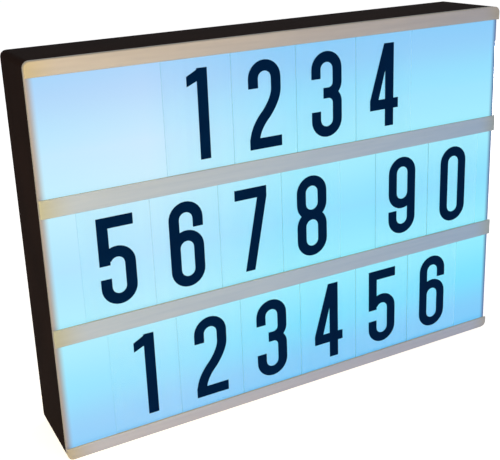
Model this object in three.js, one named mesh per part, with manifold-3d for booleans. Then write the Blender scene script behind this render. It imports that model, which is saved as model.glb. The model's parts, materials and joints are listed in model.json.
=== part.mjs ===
// A free-standing cinema light box: a black moulded case, a glowing opal front with four rails,
// and clear message tiles that slide between the rails. Six cells behind a door in the back, or
// the power socket beside it, feed two bars of lamps on a white reflector.
// Millimetres. +X runs to the viewer's right, +Y to the back, +Z up.
// The origin is the middle of the footprint, on the surface that the box stands on.

import * as THREE from "three";
import { mergeVertices } from "three/addons/utils/BufferGeometryUtils.js";
import Module from "manifold-3d";

const wasm = await Module();
wasm.setup();

// Overall sizes
const box = { width: 300, height: 220, depth: 50, cornerRadius: 3.5 };

// Clearances shared by every piece
const fitGap = 0.3; // around what slides in, drops in or screws in
const glueGap = 0.1; // under what is glued or taped down
const overrun = 1; // how far a cut runs past the face it opens
const weldDistance = 1e-4;
const leastRadius = 0.2; // of a corner that an inset has drawn in

// Message tiles: clear film, with a printed sign on each
const tile = { width: 40.3, thickness: 0.4, play: 0.35, sideGap: 0.35, cornerRadius: 1, bite: 2 };

// Rails: strips with a lip that stands in front of the tiles' edges
const rail = {
  lip: 1.1,
  grooveDepth: 2.5,
  topHeight: 8,
  middleHeight: 10,
  bottomHeight: 7,
  edgeRadius: 0.5,
  pegRadius: 1.2,
  pegLength: 1.2,
  pegCount: 5,
  pegInset: 24,
};

// Opal front: a plate with a skirt inside the case, and posts for the case screws
const panel = {
  thickness: 1.8,
  edgeRadius: 0.4,
  skirtDepth: 8,
  skirtWall: 1.5,
  postRadius: 3.5,
  postInset: 12,
};

// Rear case
const shell = {
  wall: 2.5,
  back: 2.5,
  backEdge: 1.2,
  seam: 0.3,
  bossRadius: 4.75,
  bossLength: 19,
  ribThickness: 2,
  ribReach: 6,
  ribSideCount: 3,
  ribLongCount: 4,
};

// Case screws, in wells that open in the back
const screw = {
  headRadius: 3,
  headHeight: 2.2,
  shankRadius: 1.5,
  length: 24,
  wellRadius: 3.5,
  wellDepth: 5.7,
  tipRoom: 1,
  crossWidth: 0.8,
  crossLength: 3.6,
  crossDepth: 1.2,
};

// Keyhole slots for hanging the box on two wall screws
const keyhole = { spacing: 200, height: 185, headRadius: 4.5, slotWidth: 4.6, rise: 9 };

// Cells and their contacts
const cell = {
  radius: 7.25,
  bodyLength: 49.2,
  nubRadius: 2.7,
  nubHeight: 1.2,
  sideGap: 0.6,
  count: 6,
  rimRadius: 0.8,
};
const contact = {
  thickness: 0.5,
  height: 10,
  singleWidth: 11,
  dimpleRadius: 2.6,
  dimpleHeight: 0.5,
  springHeight: 4.2,
  springBaseRadius: 4,
  springTipRadius: 2.2,
  springWire: 0.7,
  springTurns: 3,
  springSteps: 24,
  springSides: 5,
  tabWidth: 3,
  tabReach: 5.5,
};

// Battery bay and its door
const bay = { wall: 2.5, floor: 1.8, centreHeight: 100, ledge: 1.6 };
const door = {
  thickness: 2,
  cornerRadius: 2,
  tabWidth: 9,
  tabThickness: 1.4,
  tabReach: 2.6,
  tabRoot: 3,
  tabSpacing: 56,
  latchWidth: 14,
  latchLength: 9,
  latchSlit: 1,
  gripRadius: 9,
  gripDepth: 0.9,
  gripInset: 5.5,
  grooveCount: 3,
  grooveWidth: 0.8,
  grooveDepth: 0.5,
  groovePitch: 2.4,
  arrowDrop: 7,
  arrowWidth: 8,
  arrowHeight: 5,
  arrowDepth: 0.4,
};

// White reflector and the two lamp bars on it
const reflector = {
  thickness: 1,
  edgeGap: 0.6,
  bossGap: 0.6,
  leadHoleRadius: 3.4,
  leadHoleInset: 16,
};
const lampBar = {
  endInset: 25,
  height: 10,
  thickness: 1.2,
  lampSize: 5,
  lampHeight: 1.4,
  lampCount: 8,
  padWidth: 3,
  padHeight: 6,
  padThickness: 0.4,
};

// Recess for the controls, the circuit board behind it and what the board carries
const recess = {
  width: 46,
  height: 22,
  depth: 3,
  floor: 2,
  rim: 2,
  cornerRadius: 3,
  sideInset: 46,
  centreHeight: 110,
};
const board = {
  width: 52,
  height: 22,
  thickness: 1.6,
  standOff: 7,
  postRadius: 2.5,
  postSpacing: 43,
  chipLength: 8,
  chipWidth: 5,
  chipHeight: 1.5,
};
const boardScrew = { headRadius: 2.4, headHeight: 1.5, shankRadius: 1.2, length: 6.5, tipRoom: 0.6 };
const knob = {
  length: 5,
  height: 4,
  travel: 4,
  sink: 1,
  foot: 2.6,
  endGap: 0.5,
  ribCount: 3,
  ribWidth: 0.6,
  ribDepth: 0.5,
  ribPitch: 1.4,
};
const switchBody = { length: 15, height: 7.5, depth: 5.8, offset: 10 };
const socket = {
  barrelRadius: 4,
  boreRadius: 3.1,
  boreDepth: 7.5,
  pinRadius: 1,
  pinSink: 0.8,
  baseWidth: 10,
  baseHeight: 12,
  baseDepth: 3,
  offset: -10,
};

// Wires, with a step every two or three diameters
const wire = { radius: 0.8, stepLength: 4, sides: 8 };

// Facets
const fine = 20;
const coarse = 10;
const cornerSteps = 3;
const edgeSteps = 3;

// Colours
const caseBlack = new THREE.MeshStandardMaterial({ color: 0x1d1a1c, roughness: 0.5, metalness: 0 });
const opalWhite = new THREE.MeshStandardMaterial({ color: 0xa9def7, roughness: 0.45, metalness: 0 });
const railIvory = new THREE.MeshStandardMaterial({ color: 0xc4b8aa, roughness: 0.5, metalness: 0 });
const clearFilm = new THREE.MeshStandardMaterial({
  color: 0xe6f6fc,
  roughness: 0.1,
  metalness: 0,
  transparent: true,
  opacity: 0.3,
});
const sheetWhite = new THREE.MeshStandardMaterial({ color: 0xf4f4f0, roughness: 0.6, metalness: 0 });
const boardGreen = new THREE.MeshStandardMaterial({ color: 0x1f5a3a, roughness: 0.5, metalness: 0 });
const lampWhite = new THREE.MeshStandardMaterial({ color: 0xeef2f2, roughness: 0.4, metalness: 0 });
const steel = new THREE.MeshStandardMaterial({ color: 0xb9bcc0, roughness: 0.3, metalness: 1 });
const blackSteel = new THREE.MeshStandardMaterial({ color: 0x35363a, roughness: 0.4, metalness: 1 });
const cellWrap = new THREE.MeshStandardMaterial({ color: 0x40484f, roughness: 0.35, metalness: 0.6 });
const wireRed = new THREE.MeshStandardMaterial({ color: 0xa02020, roughness: 0.5, metalness: 0 });
const wireBlack = new THREE.MeshStandardMaterial({ color: 0x151515, roughness: 0.5, metalness: 0 });

// Depths, from the front to the back
const frontY = -box.depth / 2;
const backY = box.depth / 2;
const grooveWidth = tile.thickness + 2 * tile.play;
const railBackY = frontY + rail.lip + grooveWidth;
const panelFrontY = railBackY + glueGap;
const panelBackY = panelFrontY + panel.thickness;
const rimY = panelBackY + shell.seam;
const innerBackY = backY - shell.back;
const bossEndY = innerBackY - shell.bossLength;
const postEndY = bossEndY - fitGap;
const wellFloorY = backY - screw.wellDepth;
const doorInnerY = backY - door.thickness;
const cellY = doorInnerY - fitGap - cell.radius;
const bayFloorY = cellY - cell.radius - fitGap;
const bayFrontY = bayFloorY - bay.floor;
const reflectorBackY = bayFrontY - fitGap;
const reflectorFrontY = reflectorBackY - reflector.thickness;
const recessFloorY = backY - recess.depth;
const recessInnerY = recessFloorY - recess.floor;
const boardBackY = recessInnerY - board.standOff;
const boardFrontY = boardBackY - board.thickness;

// Widths
const halfWidth = box.width / 2;
const innerHalfWidth = halfWidth - shell.wall;
const skirtHalfWidth = innerHalfWidth - fitGap;
const cellPitch = 2 * cell.radius + cell.sideGap;
const bayWidth = cell.count * cellPitch;
const recessX = recess.sideInset - halfWidth;
const recessZ = recess.centreHeight;
const leadHoleX = reflector.leadHoleInset - halfWidth;
const lampBarLength = box.width - 2 * lampBar.endInset;

// Heights. The three rows share what the four rails leave.
const railStack = rail.topHeight + 2 * rail.middleHeight + rail.bottomHeight;
const rowHeight = (box.height - railStack) / 3;
const rowPitch = rowHeight + rail.middleHeight;
const lowerRowZ = rail.bottomHeight;
const lowerMiddleRailZ = lowerRowZ + rowHeight;
const upperMiddleRailZ = lowerMiddleRailZ + rowPitch;
const topRailZ = box.height - rail.topHeight;
const cellLength = cell.bodyLength + cell.nubHeight;
const contactRoom = contact.thickness + fitGap;
const bayLength = 2 * contactRoom + contact.dimpleHeight + cellLength + contact.springHeight + 2 * fitGap;
const bayLowZ = bay.centreHeight - bayLength / 2;
const bayHighZ = bay.centreHeight + bayLength / 2;

// A geometry as a solid that can be joined and cut
function solidOf(geometry) {
  const loose = geometry.index ? geometry.toNonIndexed() : geometry;
  const bare = new THREE.BufferGeometry().setAttribute("position", loose.getAttribute("position"));
  const merged = mergeVertices(bare, weldDistance);
  const vertProperties = merged.getAttribute("position").array;
  const triVerts = new Uint32Array(merged.index.array);
  return new wasm.Manifold(new wasm.Mesh({ numProp: 3, vertProperties, triVerts }));
}

function joined(solids) {
  return solids.reduce((whole, piece) => whole.add(piece));
}

function without(solid, cuts) {
  return cuts.reduce((rest, cut) => rest.subtract(cut), solid);
}

// A named mesh of one solid
function meshOf(name, solid, material) {
  const { numProp, vertProperties, triVerts } = solid.getMesh();
  const geometry = new THREE.BufferGeometry();
  geometry.setAttribute("position", new THREE.BufferAttribute(new Float32Array(vertProperties), numProp));
  geometry.setIndex(new THREE.BufferAttribute(new Uint32Array(triVerts), 1));
  geometry.computeVertexNormals();
  const mesh = new THREE.Mesh(geometry, material);
  mesh.name = name;
  return mesh;
}

// A block between two values on each axis
function block([x0, x1], [y0, y1], [z0, z1]) {
  const geometry = new THREE.BoxGeometry(x1 - x0, y1 - y0, z1 - z0);
  return solidOf(geometry.translate((x0 + x1) / 2, (y0 + y1) / 2, (z0 + z1) / 2));
}

function around(centre, size) {
  return [centre - size / 2, centre + size / 2];
}

// A round bar along the depth of the box
function rodAlongY(radius, x, z, [y0, y1], sides = fine) {
  const geometry = new THREE.CylinderGeometry(radius, radius, y1 - y0, sides);
  return solidOf(geometry.translate(x, (y0 + y1) / 2, z));
}

// An outline drawn as x and z, carried from one depth to another
function plate(shape, [y0, y1], options) {
  const settings = { depth: y1 - y0, bevelEnabled: false, curveSegments: cornerSteps, ...options };
  const geometry = new THREE.ExtrudeGeometry(shape, settings);
  return solidOf(geometry.rotateX(Math.PI / 2).translate(0, y1, 0));
}

// An outline drawn as y and z, carried along the width
function barAlongX(shape, [x0, x1]) {
  const settings = { depth: x1 - x0, bevelEnabled: false, curveSegments: edgeSteps };
  const geometry = new THREE.ExtrudeGeometry(shape, settings);
  const turn = new THREE.Matrix4().makeBasis(
    new THREE.Vector3(0, 1, 0),
    new THREE.Vector3(0, 0, 1),
    new THREE.Vector3(1, 0, 0),
  );
  return solidOf(geometry.applyMatrix4(turn).translate(x0, 0, 0));
}

function roundedRectangle([x0, x1], [z0, z1], radius) {
  const shape = new THREE.Shape();
  shape.moveTo(x0 + radius, z0);
  shape.lineTo(x1 - radius, z0);
  shape.absarc(x1 - radius, z0 + radius, radius, -Math.PI / 2, 0, false);
  shape.lineTo(x1, z1 - radius);
  shape.absarc(x1 - radius, z1 - radius, radius, 0, Math.PI / 2, false);
  shape.lineTo(x0 + radius, z1);
  shape.absarc(x0 + radius, z1 - radius, radius, Math.PI / 2, Math.PI, false);
  shape.lineTo(x0, z0 + radius);
  shape.absarc(x0 + radius, z0 + radius, radius, Math.PI, 1.5 * Math.PI, false);
  return shape;
}

// The outline of the box, drawn in by an inset
function boxOutline(inset = 0) {
  const radius = Math.max(box.cornerRadius - inset, leastRadius);
  return roundedRectangle([inset - halfWidth, halfWidth - inset], [inset, box.height - inset], radius);
}

// The box's outline with the edge of one end rounded: [plain end, rounded end]
function softEdged([plainY, softY], edge) {
  const towardsBack = softY > plainY;
  const options = {
    bevelEnabled: true,
    bevelThickness: edge,
    bevelSize: edge,
    bevelOffset: -edge,
    bevelSegments: edgeSteps,
  };
  const longY = towardsBack ? plainY - 2 * edge : plainY + 2 * edge;
  const span = towardsBack ? [longY + edge, softY - edge] : [softY + edge, longY - edge];
  const long = plate(boxOutline(), span, options);
  const kept = [Math.min(plainY, softY), Math.max(plainY, softY)];
  return long.intersect(block([-halfWidth, halfWidth], kept, [0, box.height]));
}

// Where the six case screws stand
const postX = halfWidth - panel.postInset;
const screwPlaces = [
  { name: "lower_left", x: -postX, z: panel.postInset },
  { name: "lower_middle", x: 0, z: panel.postInset },
  { name: "lower_right", x: postX, z: panel.postInset },
  { name: "upper_left", x: -postX, z: box.height - panel.postInset },
  { name: "upper_middle", x: 0, z: box.height - panel.postInset },
  { name: "upper_right", x: postX, z: box.height - panel.postInset },
];

// The four rails: where each starts, its height, and which of its sides has a groove
const bothGrooves = { grooveBelow: true, grooveAbove: true };
const railPlaces = [
  { name: "rail_bottom", z: 0, height: rail.bottomHeight, grooveBelow: false, grooveAbove: true },
  { name: "rail_lower_middle", z: lowerMiddleRailZ, height: rail.middleHeight, ...bothGrooves },
  { name: "rail_upper_middle", z: upperMiddleRailZ, height: rail.middleHeight, ...bothGrooves },
  { name: "rail_top", z: topRailZ, height: rail.topHeight, grooveBelow: true, grooveAbove: false },
];

// The height of the middle of a rail's web, which its pegs stand on
function webCentre(place) {
  const low = place.z + (place.grooveBelow ? rail.grooveDepth : 0);
  const high = place.z + place.height - (place.grooveAbove ? rail.grooveDepth : 0);
  return (low + high) / 2;
}

const pegPitch = (box.width - 2 * rail.pegInset) / (rail.pegCount - 1);
const pegXs = Array.from({ length: rail.pegCount }, (_, i) => rail.pegInset - halfWidth + i * pegPitch);

// A rail's section, drawn as y and z: a flat face, with a groove behind it on one side or both
function railSection({ z, height, grooveBelow, grooveAbove }) {
  const lipBackY = frontY + rail.lip;
  const webLow = grooveBelow ? z + rail.grooveDepth : z;
  const webHigh = grooveAbove ? z + height - rail.grooveDepth : z + height;
  const soft = rail.edgeRadius;
  const shape = new THREE.Shape();
  shape.moveTo(railBackY, webLow);
  shape.lineTo(railBackY, webHigh);
  if (grooveAbove) {
    shape.lineTo(lipBackY, webHigh);
    shape.lineTo(lipBackY, z + height);
  }
  shape.lineTo(frontY + soft, z + height);
  shape.absarc(frontY + soft, z + height - soft, soft, Math.PI / 2, Math.PI, false);
  shape.lineTo(frontY, z + soft);
  shape.absarc(frontY + soft, z + soft, soft, Math.PI, 1.5 * Math.PI, false);
  if (grooveBelow) {
    shape.lineTo(lipBackY, z);
    shape.lineTo(lipBackY, webLow);
  }
  return shape;
}

function makeRails() {
  const envelope = softEdged([railBackY + rail.pegLength, frontY], rail.edgeRadius);
  return railPlaces.map((place) => {
    const bar = barAlongX(railSection(place), [-halfWidth, halfWidth]).intersect(envelope);
    const pegEnds = [railBackY - glueGap, railBackY + rail.pegLength];
    const pegs = pegXs.map((x) => rodAlongY(rail.pegRadius, x, webCentre(place), pegEnds, coarse));
    return meshOf(place.name, joined([bar, ...pegs]), railIvory);
  });
}

// Opal front plate, with its skirt, its screw posts and a blind hole for each peg of the rails
function makePanel() {
  const face = softEdged([panelBackY, panelFrontY], panel.edgeRadius);
  const skirtEnds = [panelBackY - glueGap, panelBackY + panel.skirtDepth];
  const skirtInset = halfWidth - skirtHalfWidth;
  const ring = plate(boxOutline(skirtInset), skirtEnds);
  const hollowEnds = [skirtEnds[0] - overrun, skirtEnds[1] + overrun];
  const skirt = ring.subtract(plate(boxOutline(skirtInset + panel.skirtWall), hollowEnds));
  const postEnds = [panelBackY - glueGap, postEndY];
  const posts = screwPlaces.map(({ x, z }) => rodAlongY(panel.postRadius, x, z, postEnds));
  const pilotRadius = screw.shankRadius + fitGap;
  const pilotEnds = [wellFloorY - screw.length - screw.tipRoom, postEndY + overrun];
  const pilots = screwPlaces.map(({ x, z }) => rodAlongY(pilotRadius, x, z, pilotEnds, coarse));
  const pegHoleEnds = [panelFrontY - overrun, railBackY + rail.pegLength + fitGap];
  const pegHoles = railPlaces.flatMap((place) =>
    pegXs.map((x) => rodAlongY(rail.pegRadius + fitGap, x, webCentre(place), pegHoleEnds, coarse)),
  );
  const body = without(joined([face, skirt, ...posts]), [...pilots, ...pegHoles]);
  return meshOf("diffuser_panel", body, opalWhite);
}

// Message tiles by row, in runs from the left. The shares say how the width that a row's tiles
// leave free is split: before the first run, between runs, and after the last one.
const tilePitch = tile.width + tile.sideGap;
const tileHeight = rowHeight + 2 * tile.bite;
const tileRows = [
  { name: "upper", z: lowerRowZ + 2 * rowPitch, runs: [4], gapShares: [0.51, 0.49] },
  { name: "middle", z: lowerRowZ + rowPitch, runs: [4, 2], gapShares: [0.322, 0.458, 0.22] },
  { name: "lower", z: lowerRowZ, runs: [6], gapShares: [0.515, 0.485] },
];

// Where the left edges of a row's tiles stand
function tileEdges({ runs, gapShares }) {
  const count = runs.reduce((sum, run) => sum + run);
  const freeWidth = box.width - count * tilePitch;
  const edges = [];
  let x = (tile.sideGap - box.width) / 2;
  runs.forEach((run, r) => {
    x += gapShares[r] * freeWidth;
    for (let i = 0; i < run; i += 1) {
      edges.push(x);
      x += tilePitch;
    }
  });
  return edges;
}

function makeTiles() {
  const faceY = frontY + rail.lip + tile.play;
  return tileRows.flatMap((row) => {
    const lowZ = row.z - tile.bite;
    return tileEdges(row).map((x, i) => {
      const outline = roundedRectangle([x, x + tile.width], [lowZ, lowZ + tileHeight], tile.cornerRadius);
      const film = plate(outline, [faceY, faceY + tile.thickness], { curveSegments: 1 });
      return meshOf(`tile_${row.name}_${i + 1}`, film, clearFilm);
    });
  });
}

// Case screw: a pan head with a cross in it, and a plain shank
function makeCaseScrews() {
  const headTopY = wellFloorY + screw.headHeight;
  const shankEnds = [wellFloorY - screw.length, wellFloorY + glueGap];
  return screwPlaces.map(({ name, x, z }) => {
    const head = rodAlongY(screw.headRadius, x, z, [wellFloorY, headTopY]);
    const shank = rodAlongY(screw.shankRadius, x, z, shankEnds, coarse);
    const crossEnds = [headTopY - screw.crossDepth, headTopY + overrun];
    const across = block(around(x, screw.crossLength), crossEnds, around(z, screw.crossWidth));
    const upright = block(around(x, screw.crossWidth), crossEnds, around(z, screw.crossLength));
    return meshOf(`case_screw_${name}`, without(joined([head, shank]), [across, upright]), blackSteel);
  });
}

// Battery door sizes that the case shares
const doorHalfWidth = bayWidth / 2 + bay.ledge - fitGap;
const doorLowZ = bayLowZ - bay.ledge + fitGap;
const doorHighZ = bayHighZ + bay.ledge - fitGap;
const doorTabXs = [-door.tabSpacing / 2, door.tabSpacing / 2];
const doorTabY = [doorInnerY - door.tabThickness, doorInnerY];

// Board posts, and the places of the switch and the socket
const boardPostXs = [recessX - board.postSpacing / 2, recessX + board.postSpacing / 2];
const switchX = recessX + switchBody.offset;
const socketX = recessX + socket.offset;
const knobSlotLength = knob.length + knob.travel + 2 * knob.endGap;

// The places that split a length into equal parts
function evenPlaces(length, count) {
  return Array.from({ length: count }, (_, i) => ((i + 1) * length) / (count + 1));
}

// Reflector ribs, as spans of x and z: short webs on the case's four walls
function ribSpans() {
  const reach = [-glueGap, shell.ribReach];
  const sideRibs = evenPlaces(box.height, shell.ribSideCount).flatMap((z) => [
    [reach.map((r) => r - innerHalfWidth), around(z, shell.ribThickness)],
    [reach.map((r) => innerHalfWidth - r).reverse(), around(z, shell.ribThickness)],
  ]);
  const longRibs = evenPlaces(box.width, shell.ribLongCount).flatMap((place) => [
    [around(place - halfWidth, shell.ribThickness), reach.map((r) => shell.wall + r)],
    [around(place - halfWidth, shell.ribThickness), reach.map((r) => box.height - shell.wall - r).reverse()],
  ]);
  return [...sideRibs, ...longRibs];
}

// Keyhole: a round hole for a screw head, with a narrow slot above it
function keyholeCut(x) {
  const ends = [innerBackY - overrun, backY + overrun];
  const head = rodAlongY(keyhole.headRadius, x, keyhole.height, ends);
  const slot = block(around(x, keyhole.slotWidth), ends, [keyhole.height, keyhole.height + keyhole.rise]);
  const slotEnd = rodAlongY(keyhole.slotWidth / 2, x, keyhole.height + keyhole.rise, ends);
  return joined([head, slot, slotEnd]);
}

// Black rear case
function makeCase() {
  const tray = softEdged([rimY, backY], shell.backEdge);
  const hollow = plate(boxOutline(shell.wall), [rimY - overrun, innerBackY]);
  const bossEnds = [bossEndY, innerBackY + glueGap];
  const bosses = screwPlaces.map(({ x, z }) => rodAlongY(shell.bossRadius, x, z, bossEnds));
  const ribs = ribSpans().map(([xs, zs]) => block(xs, [bayFrontY, innerBackY + glueGap], zs));
  const bayOuterX = bayWidth / 2 + bay.wall;
  const bayBox = block(
    [-bayOuterX, bayOuterX],
    [bayFrontY, innerBackY + glueGap],
    [bayLowZ - bay.wall, bayHighZ + bay.wall],
  );
  const recessFloor = block(
    around(recessX, recess.width + 2 * recess.rim),
    [recessInnerY, innerBackY + glueGap],
    around(recessZ, recess.height + 2 * recess.rim),
  );
  const boardPosts = boardPostXs.map((x) =>
    rodAlongY(board.postRadius, x, recessZ, [boardBackY + fitGap, recessInnerY + glueGap], coarse),
  );
  const wellEnds = [wellFloorY, backY + overrun];
  const wells = screwPlaces.map(({ x, z }) => rodAlongY(screw.wellRadius, x, z, wellEnds));
  const shafts = screwPlaces.map(({ x, z }) =>
    rodAlongY(screw.shankRadius + fitGap, x, z, [bossEndY - overrun, wellFloorY + overrun], coarse),
  );
  const bayRoom = block([-bayWidth / 2, bayWidth / 2], [bayFloorY, backY + overrun], [bayLowZ, bayHighZ]);
  const rebateHalfWidth = bayWidth / 2 + bay.ledge;
  const rebateOutline = roundedRectangle(
    [-rebateHalfWidth, rebateHalfWidth],
    [bayLowZ - bay.ledge, bayHighZ + bay.ledge],
    door.cornerRadius + fitGap,
  );
  const rebate = plate(rebateOutline, [doorInnerY - fitGap, backY + overrun]);
  const tabPockets = doorTabXs.map((x) =>
    block(
      around(x, door.tabWidth + 2 * fitGap),
      [doorTabY[0] - door.tabReach / 2 - fitGap, doorTabY[1] + fitGap],
      [doorLowZ - door.tabReach - fitGap, bayLowZ + overrun],
    ),
  );
  const contactSlots = [0, cell.count - 1].map((i) =>
    block(
      around(cellX(i), contact.tabWidth + 2 * fitGap),
      around(cellY, contact.thickness + 2 * fitGap),
      [bayHighZ - overrun, bayHighZ + bay.wall + overrun],
    ),
  );
  const recessOutline = roundedRectangle(
    around(recessX, recess.width),
    around(recessZ, recess.height),
    recess.cornerRadius,
  );
  const recessRoom = plate(recessOutline, [recessFloorY, backY + overrun]);
  const floorCutEnds = [recessInnerY - overrun, recessFloorY + overrun];
  const knobSlot = block(
    around(switchX, knobSlotLength),
    floorCutEnds,
    around(recessZ, knob.height + 2 * fitGap),
  );
  const socketHole = rodAlongY(socket.barrelRadius + fitGap, socketX, recessZ, floorCutEnds);
  const boardPilots = boardPostXs.map((x) =>
    rodAlongY(
      boardScrew.shankRadius + fitGap,
      x,
      recessZ,
      [boardBackY - overrun, boardFrontY + boardScrew.length + boardScrew.tipRoom],
      coarse,
    ),
  );
  const keyholes = [-keyhole.spacing / 2, keyhole.spacing / 2].map(keyholeCut);
  const body = joined([tray.subtract(hollow), ...bosses, ...ribs, bayBox, recessFloor, ...boardPosts]);
  const cuts = [
    ...wells,
    ...shafts,
    bayRoom,
    rebate,
    ...tabPockets,
    ...contactSlots,
    recessRoom,
    knobSlot,
    socketHole,
    ...boardPilots,
    ...keyholes,
  ];
  return meshOf("rear_case", without(body, cuts), caseBlack);
}

// Battery door: a lid with two tabs under the case's wall, a sprung tongue at the top, and a
// finger hollow and an arrow that show where to press
function makeDoor() {
  const outline = roundedRectangle([-doorHalfWidth, doorHalfWidth], [doorLowZ, doorHighZ], door.cornerRadius);
  const lid = plate(outline, [doorInnerY, backY]);
  const tabDepths = [doorTabY[0], doorTabY[1] + glueGap];
  const tabHeights = [doorLowZ - door.tabReach, doorLowZ + door.tabRoot];
  const tabs = doorTabXs.map((x) => block(around(x, door.tabWidth), tabDepths, tabHeights));
  const slitXs = [-door.latchWidth / 2 - door.latchSlit, door.latchWidth / 2];
  const slits = slitXs.map((x) =>
    block(
      [x, x + door.latchSlit],
      [doorInnerY - overrun, backY + overrun],
      [doorHighZ - door.latchLength, doorHighZ + overrun],
    ),
  );
  const gripZ = doorHighZ - door.latchLength - door.gripInset;
  const ball = new THREE.SphereGeometry(door.gripRadius, fine, coarse);
  const grip = solidOf(ball.translate(0, backY + door.gripRadius - door.gripDepth, gripZ));
  const grooves = Array.from({ length: door.grooveCount }, (_, i) => {
    const z = doorHighZ - door.latchLength / 2 + (i - (door.grooveCount - 1) / 2) * door.groovePitch;
    return block(
      around(0, door.latchWidth - 2 * door.latchSlit),
      [backY - door.grooveDepth, backY + overrun],
      around(z, door.grooveWidth),
    );
  });
  const arrowZ = gripZ - door.arrowDrop;
  const arrowOutline = new THREE.Shape();
  arrowOutline.moveTo(-door.arrowWidth / 2, arrowZ);
  arrowOutline.lineTo(0, arrowZ - door.arrowHeight);
  arrowOutline.lineTo(door.arrowWidth / 2, arrowZ);
  const arrow = plate(arrowOutline, [backY - door.arrowDepth, backY + overrun]);
  const cuts = [...slits, grip, ...grooves, arrow];
  return meshOf("battery_door", without(joined([lid, ...tabs]), cuts), caseBlack);
}

// The middle of a cell across the bay
function cellX(i) {
  return (i + 0.5) * cellPitch - bayWidth / 2;
}

// Cells stand side by side, and every second one is upside down
function makeCells() {
  const lowEndZ = bayLowZ + contactRoom;
  const highEndZ = bayHighZ - contactRoom;
  const profile = [
    new THREE.Vector2(0, 0),
    new THREE.Vector2(cell.radius - cell.rimRadius, 0),
    new THREE.Vector2(cell.radius, cell.rimRadius),
    new THREE.Vector2(cell.radius, cell.bodyLength - cell.rimRadius),
    new THREE.Vector2(cell.radius - cell.rimRadius, cell.bodyLength),
    new THREE.Vector2(cell.nubRadius, cell.bodyLength),
    new THREE.Vector2(cell.nubRadius, cellLength),
    new THREE.Vector2(0, cellLength),
  ];
  return Array.from({ length: cell.count }, (_, i) => {
    const pointsUp = i % 2 === 0;
    const nubGap = contact.dimpleHeight + fitGap;
    const startZ = pointsUp ? highEndZ - nubGap - cellLength : lowEndZ + nubGap + cellLength;
    const geometry = new THREE.LatheGeometry(profile, fine);
    geometry.rotateX(pointsUp ? Math.PI / 2 : -Math.PI / 2);
    geometry.translate(cellX(i), cellY, startZ);
    return meshOf(`battery_cell_${i + 1}`, solidOf(geometry), cellWrap);
  });
}

// A round wire along a curve, with flat ends
function wireAlong(curve, radius, sides, steps) {
  const section = new THREE.Shape().absarc(0, 0, radius, 0, 2 * Math.PI, false);
  const settings = { steps, extrudePath: curve, curveSegments: sides / 2, bevelEnabled: false };
  return solidOf(new THREE.ExtrudeGeometry(section, settings));
}

// A coil that narrows as it rises from a contact's plate towards the cell
class ContactCoil extends THREE.Curve {
  constructor(x, plateZ, direction) {
    super();
    this.foot = new THREE.Vector3(x, cellY, plateZ);
    this.direction = direction;
  }

  getPoint(t, point = new THREE.Vector3()) {
    const angle = t * contact.springTurns * 2 * Math.PI;
    const radius = THREE.MathUtils.lerp(contact.springBaseRadius, contact.springTipRadius, t);
    const rise = contact.springWire / 2 - glueGap + t * (contact.springHeight - contact.springWire);
    point.set(radius * Math.cos(angle), radius * Math.sin(angle), this.direction * rise);
    return point.add(this.foot);
  }
}

// A contact's plate, for one cell or two: a coil at each negative end, a dimple at each positive one
function contactSolid({ cells, atTop, hasTab }) {
  const plateLow = atTop ? bayHighZ - fitGap - contact.thickness : bayLowZ + fitGap;
  const plateZ = [plateLow, plateLow + contact.thickness];
  const faceZ = atTop ? plateZ[0] : plateZ[1];
  const inward = atTop ? -1 : 1;
  const first = cellX(cells[0]) - contact.singleWidth / 2;
  const last = cellX(cells[cells.length - 1]) + contact.singleWidth / 2;
  const parts = [block([first, last], around(cellY, contact.height), plateZ)];
  for (const i of cells) {
    const pointsUp = i % 2 === 0;
    if (pointsUp === atTop) {
      const dimple = new THREE.CylinderGeometry(
        contact.dimpleRadius,
        contact.dimpleRadius,
        contact.dimpleHeight + glueGap,
        coarse,
      );
      dimple.rotateX(Math.PI / 2);
      dimple.translate(cellX(i), cellY, faceZ + (inward * (contact.dimpleHeight - glueGap)) / 2);
      parts.push(solidOf(dimple));
    } else {
      const coil = new ContactCoil(cellX(i), faceZ, inward);
      parts.push(wireAlong(coil, contact.springWire / 2, contact.springSides, contact.springSteps));
    }
  }
  if (hasTab) {
    const tabEnds = [plateZ[1] - glueGap, plateZ[1] + contact.tabReach];
    parts.push(block(around(cellX(cells[0]), contact.tabWidth), around(cellY, contact.thickness), tabEnds));
  }
  return joined(parts);
}

function makeContacts() {
  const places = [
    { name: "contact_positive", cells: [0], atTop: true, hasTab: true },
    { name: "contact_top_2_3", cells: [1, 2], atTop: true, hasTab: false },
    { name: "contact_top_4_5", cells: [3, 4], atTop: true, hasTab: false },
    { name: "contact_negative", cells: [5], atTop: true, hasTab: true },
    { name: "contact_bottom_1_2", cells: [0, 1], atTop: false, hasTab: false },
    { name: "contact_bottom_3_4", cells: [2, 3], atTop: false, hasTab: false },
    { name: "contact_bottom_5_6", cells: [4, 5], atTop: false, hasTab: false },
  ];
  return places.map((place) => meshOf(place.name, contactSolid(place), steel));
}

// White reflector sheet: it drops over the bosses and lies on the ribs and the bay
function makeReflector() {
  const sheet = plate(boxOutline(shell.wall + reflector.edgeGap), [reflectorFrontY, reflectorBackY]);
  const ends = [reflectorFrontY - overrun, reflectorBackY + overrun];
  const holeRadius = shell.bossRadius + reflector.bossGap;
  const bossHoles = screwPlaces.map(({ x, z }) => rodAlongY(holeRadius, x, z, ends));
  const leadHole = rodAlongY(reflector.leadHoleRadius, leadHoleX, recessZ, ends);
  return meshOf("reflector_sheet", without(sheet, [...bossHoles, leadHole]), sheetWhite);
}

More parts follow.
